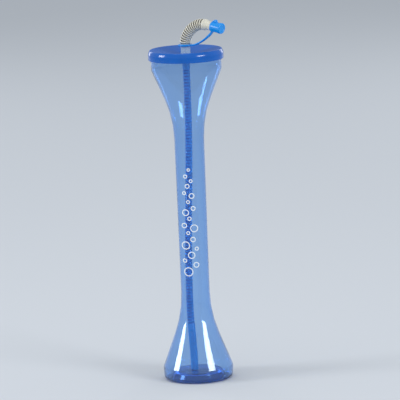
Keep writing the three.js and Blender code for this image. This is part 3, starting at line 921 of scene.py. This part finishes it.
def moulded_plastic(name, light, dark, roughness, mottle, soft=0.0, soft_radius=(1, 1, 1), groove_shade=None):
    """A moulded plastic: colour that drifts a little, painted shade that darkens its grooves, and its
    mould's fine grain.
    """
    material, tree, output = new_material(name)
    where = add(tree, "ShaderNodeTexCoord")
    drift = add(tree, "ShaderNodeTexNoise", {
        "Vector": where.outputs["Object"], "Scale": 1 / mottle, "Detail": 3.0})
    colour = add(tree, "ShaderNodeMix", {
        "Factor": drift.outputs["Fac"], "A": linear(dark), "B": linear(light)}, data_type="RGBA")
    # Painted shade: the groove mask mixes the colour towards a darker groove colour.
    if groove_shade:
        depth = add(tree, "ShaderNodeAttribute", attribute_name="groove_shade")
        colour = add(tree, "ShaderNodeMix", {
            "Factor": depth.outputs["Fac"], "A": colour.outputs["Result"], "B": linear(groove_shade)},
            data_type="RGBA")
    grain = add(tree, "ShaderNodeTexNoise", {
        "Vector": where.outputs["Object"], "Scale": 1 / GRAIN, "Detail": 2.0})
    gloss = add(tree, "ShaderNodeMapRange", {
        "Value": drift.outputs["Fac"], "From Min": 0.3, "From Max": 0.7,
        "To Min": roughness - GLOSS_DRIFT, "To Max": roughness + GLOSS_DRIFT})
    bump = add(tree, "ShaderNodeBump", {
        "Height": grain.outputs["Fac"], "Strength": 0.15, "Distance": 0.05 * MM})
    shell = add(tree, "ShaderNodeBsdfPrincipled", {
        "Base Color": colour.outputs["Result"], "Roughness": gloss.outputs["Result"], "IOR": 1.5,
        "Subsurface Weight": soft, "Subsurface Radius": soft_radius, "Subsurface Scale": MM,
        "Normal": bump.outputs["Normal"]})
    tree.links.new(shell.outputs["BSDF"], output.inputs["Surface"])
    return material


# %% Straw, spout and cap plastics
# The straw is polyethylene, coloured right through, and satin. Between its ribs it is darkened to a
# deeper blue with painted shade.
straw_plastic = moulded_plastic(
    "blue polyethylene straw", "34b8ff", "2aacf8", roughness=0.3, mottle=5 * MM, groove_shade="1278d6")
# The spout's polyethylene has no pigment. Light goes some way into it, so its ribs look soft and creamy.
# The deep grooves between them are darkened with painted shade.
spout_plastic = moulded_plastic(
    "milky polyethylene", "e0ddce", "d4d1c2", roughness=0.25, mottle=4 * MM,
    soft=0.45, soft_radius=(2.6, 2.4, 2.0), groove_shade="3a362c")
# The straw's blue end is inside the stub. Its blue, seen through the milky wall, is painted into this
# part's colour, so it is bluer.
stub_plastic = moulded_plastic(
    "milky polyethylene over the straw", "b3c8d8", "a7bccf", roughness=0.25, mottle=4 * MM,
    soft=0.1, soft_radius=(1.2, 1.4, 1.6))
# The cap is a softer grade with more pigment, so it is bright, has a dull shine and glows a little.
cap_plastic = moulded_plastic(
    "azure soft polyethylene", "0e96ee", "0c8ae0", roughness=0.25, mottle=4 * MM,
    soft=0.1, soft_radius=(0.3, 0.7, 1.2))
print("finishes:", [m.name for m in bpy.data.materials if m.users == 0])

# %% [markdown]
# ## Where each piece belongs
# Every piece takes a finish and stands for its solid in the frame. The rigid pieces move with one of
# the frame's bodies. The corrugated bend and the strap are only baked in place here.

# %% Finishes and solids
def dress(piece, material, slot, *nodes):
    """Gives a piece its finish and hides the solids it stands for."""
    piece.data.materials.clear()
    piece.data.materials.append(material)
    if nodes:
        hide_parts(*nodes)


bubble_print.data.materials.append(print_ink)
dress(cup, cup_plastic, "tinted_clear", "cup_shell")
dress(lid, lid_plastic, "lid_blue", "lid")
dress(straw, straw_plastic, "straw_blue", "dip_straw")
dress(stub, stub_plastic, "spout_milky", "spout_stub")
dress(bend, spout_plastic, "spout_milky", "spout_bellows")
dress(tip, spout_plastic, "spout_milky", "spout_tip")
dress(ring, cap_plastic, "cap_azure", "tether_ring")
dress(strap_low, cap_plastic, "cap_azure", "tether_strap")
dress(strap_high, cap_plastic, "cap_azure")
dress(cap, cap_plastic, "cap_azure", "straw_cap")

# %% Pieces that stay rigid
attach(cup, "cup")
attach(bubble_print, "cup")
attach(lid, "lid")
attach(straw, "straw")
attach(stub, "spout")
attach(ring, "spout")
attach(tip, "tip")
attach(cap, "cap")


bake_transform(bend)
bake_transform(strap_low)
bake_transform(strap_high)
